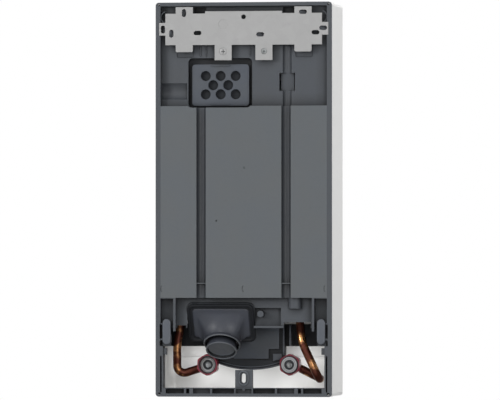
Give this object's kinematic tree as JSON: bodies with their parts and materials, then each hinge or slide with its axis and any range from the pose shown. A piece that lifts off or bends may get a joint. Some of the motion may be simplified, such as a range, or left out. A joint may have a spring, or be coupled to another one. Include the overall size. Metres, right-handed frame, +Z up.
{
  "type": "tankless electric water heater",
  "caption": "Slim wall-hung electric water heater with hanging bracket, rear cable entries, capped hood with knob and display, and union nuts on copper water lines at the foot.",
  "frame": {"origin": "on the wall plane, in the middle of the casing's width and height", "axes": "+Z up, +Y into the wall, +X to the right as seen from the front"},
  "size_m": [0.216, 0.115, 0.478],
  "materials": {
    "panel_plastic": "dark grey moulded panel",
    "hood_plastic": "white, satin sides",
    "galvanised_sheet": "galvanised sheet",
    "screw_steel": "zinc plated",
    "seal_rubber": "soft dark grey",
    "catch_plastic": "dark grey",
    "copper": "copper tube, darkened",
    "red_plastic": "crimson",
    "gasket_grey": "light grey fibre",
    "insert_grey": "grey",
    "carrier_plastic": "near black",
    "coil_metal": "bare heating wire",
    "turbine_white": "white",
    "brass": "bare brass",
    "cream_plastic": "cream",
    "board_green": "green lacquered board",
    "part_black": "black",
    "lead_blue": "dark blue insulation",
    "knob_silver": "silver",
    "window_black": "dark clear window"
  },
  "bodies": {
    "casing": {"rear_panel": "panel_plastic", "hood": "hood_plastic", "wall_bracket": "galvanised_sheet", "bracket_screws": "screw_steel", "upper_entry_seal": "seal_rubber", "cable_grommet": "seal_rubber", "cold_inlet_pipe": "copper", "hot_outlet_pipe": "copper", "cold_gasket": "gasket_grey", "hot_gasket": "gasket_grey", "inlet_strainer": "insert_grey", "outlet_insert": "insert_grey", "inner_carrier": "carrier_plastic", "heating_block": "carrier_plastic", "block_cover": "carrier_plastic", "heating_coils": "coil_metal", "block_screws": "screw_steel", "flow_sensor_body": "insert_grey", "turbine_pin": "screw_steel", "valve_body": "carrier_plastic", "link_tube": "insert_grey", "safety_switch": "cream_plastic", "thermal_cutout": "cream_plastic", "water_sensors": "screw_steel", "power_board": "board_green", "board_parts": "part_black", "board_screws": "screw_steel", "terminal_block": "cream_plastic", "terminal_screws": "brass", "earth_lug": "screw_steel", "cable_clamp": "cream_plastic", "clamp_screws": "screw_steel", "inner_leads": "lead_blue", "control_board": "board_green", "encoder_body": "screw_steel", "display_module": "part_black", "display_window": "window_black"},
    "knob": {"knob": "knob_silver", "encoder_shaft": "screw_steel"},
    "cold_nut": {"cold_union_nut": "red_plastic"},
    "hot_nut": {"hot_union_nut": "red_plastic"},
    "left_catch": {"catch_left": "catch_plastic"},
    "right_catch": {"catch_right": "catch_plastic"},
    "turbine": {"flow_turbine": "turbine_white"},
    "spindle": {"valve_spindle": "brass"},
    "reset": {"reset_button": "red_plastic"},
    "hood_screw": {"hood_screw": "screw_steel"}
  },
  "joints": [
    {"name": "knob_turn", "type": "hinge", "parent": "casing", "child": "knob", "pos_m": [0, -0.104, 0.07], "axis": [0, -1, 0], "range_deg": [-135, 135]},
    {"name": "cold_nut_turn", "type": "hinge", "parent": "casing", "child": "cold_nut", "pos_m": [0.05, -0.04, -0.2006], "axis": [0, 1, 0], "continuous": true},
    {"name": "hot_nut_turn", "type": "hinge", "parent": "casing", "child": "hot_nut", "pos_m": [-0.05, -0.049, -0.2006], "axis": [0, 1, 0], "continuous": true},
    {"name": "left_catch_slide", "type": "slide", "parent": "casing", "child": "left_catch", "axis": [0, 0, 1], "range_m": [0, 0.012]},
    {"name": "right_catch_slide", "type": "slide", "parent": "casing", "child": "right_catch", "axis": [0, 0, 1], "range_m": [0, 0.012]},
    {"name": "turbine_spin", "type": "hinge", "parent": "casing", "child": "turbine", "pos_m": [0.052, -0.05, -0.131], "axis": [1, 0, 0], "continuous": true},
    {"name": "spindle_turn", "type": "hinge", "parent": "casing", "child": "spindle", "pos_m": [0.086, -0.064, -0.131], "axis": [0, -1, 0], "range_deg": [0, 90]},
    {"name": "reset_press", "type": "slide", "parent": "casing", "child": "reset", "axis": [0, 1, 0], "range_m": [0, 0.002], "stiffness_N_per_m": 300},
    {"name": "hood_screw_turn", "type": "hinge", "parent": "casing", "child": "hood_screw", "pos_m": [0, -0.009, -0.236], "axis": [0, 0, 1], "continuous": true}
  ]
}
